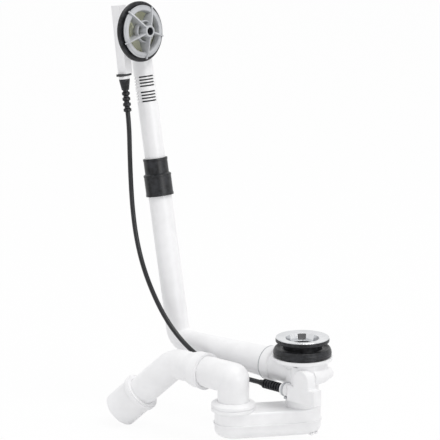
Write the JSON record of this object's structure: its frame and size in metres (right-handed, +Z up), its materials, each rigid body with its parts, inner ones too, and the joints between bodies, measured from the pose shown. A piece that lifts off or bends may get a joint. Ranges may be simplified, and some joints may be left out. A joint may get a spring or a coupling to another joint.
{
  "type": "bath waste and overflow",
  "caption": "White plastic bath waste and overflow with a low trap, swivel outlet, telescopic overflow pipe, spoked clamping flange, chrome waste flange and a cable that works the plug lever.",
  "frame": {"origin": "on the waste axis, at the underside of the waste flange's rim, where it meets the bath floor", "axes": "+Z up along the waste axis; +X from the overflow towards the waste, so the overflow faces +X"},
  "size_m": [0.3731, 0.1671, 0.5667],
  "materials": {
    "white_polypropylene": "moulded, soft sheen",
    "black_rubber": "moulded, matt",
    "grey_rubber": "moulded, matt",
    "chrome_plate": "polished plate",
    "grey_plastic": "moulded, soft sheen",
    "black_plastic": "moulded",
    "cable_jacket": "extruded, satin"
  },
  "bodies": {
    "waste": {"waste_body": "white_polypropylene", "waste_flange": "chrome_plate", "waste_gasket": "black_rubber", "lever_cover": "white_polypropylene", "lower_ferrule": "grey_plastic", "lower_boot": "black_rubber", "gland_clip": "grey_plastic", "bowden_cable": "cable_jacket", "trap_pan": "white_polypropylene", "trap_deck": "white_polypropylene", "riser_seal": "grey_rubber", "overflow_pipe": "white_polypropylene", "pipe_seal": "grey_rubber", "telescope_sleeve": "black_rubber"},
    "overflow_head": {"overflow_tube": "white_polypropylene", "flex_liner": "black_rubber", "overflow_housing": "white_polypropylene", "housing_cover": "white_polypropylene", "overflow_gasket": "black_rubber", "overflow_flange": "grey_plastic", "upper_ferrule": "white_polypropylene", "cable_clip": "black_plastic", "upper_boot": "black_rubber"},
    "drive": {"drive_spindle": "black_plastic"},
    "rack": {"wire_rack": "black_plastic"},
    "slider": {"wire_slider": "black_plastic"},
    "lever": {"lift_lever": "grey_plastic", "crank_arm": "grey_plastic"},
    "outlet_elbow": {"outlet_elbow": "white_polypropylene"},
    "outlet_bend": {"outlet_bend": "white_polypropylene", "swivel_ring": "white_polypropylene", "reducer_seal": "white_polypropylene", "outlet_reducer": "white_polypropylene"}
  },
  "joints": [
    {"name": "overflow_telescope", "type": "slide", "parent": "waste", "child": "overflow_head", "axis": [-0.1805, 0, 0.9836], "range_m": [-0.045, 0.05], "deforming": ["bowden_cable"]},
    {"name": "drive_turn", "type": "hinge", "parent": "overflow_head", "child": "drive", "pos_m": [-0.282, -0.024, 0.383], "axis": [-0.991, 0, -0.134], "range_deg": [0, 90]},
    {"name": "rack_slide", "type": "slide", "parent": "overflow_head", "child": "rack", "axis": [-0.134, 0, 0.991], "range_m": [0, 0.00785]},
    {"name": "slider_slide", "type": "slide", "parent": "waste", "child": "slider", "axis": [-1, 0, 0], "range_m": [0, 0.00785]},
    {"name": "lever_rock", "type": "hinge", "parent": "waste", "child": "lever", "pos_m": [0.03, 0, -0.0435], "axis": [0, 1, 0], "range_deg": [0, 22.09]},
    {"name": "outlet_swivel", "type": "hinge", "parent": "waste", "child": "outlet_elbow", "pos_m": [-0.052, -0.078, -0.048], "axis": [0, 0, 1], "range_deg": [-5, 150]},
    {"name": "bend_swivel", "type": "hinge", "parent": "outlet_elbow", "child": "outlet_bend", "pos_m": [-0.103, -0.078, -0.048], "axis": [-1, 0, 0], "range_deg": [-30, 150]}
  ],
  "couplings": [
    {"joint": "rack_slide", "follows": "drive_turn", "m_per_rad": 0.005},
    {"joint": "slider_slide", "follows": "drive_turn", "m_per_rad": 0.005},
    {"joint": "lever_rock", "follows": "drive_turn", "ratio": 0.24542}
  ]
}
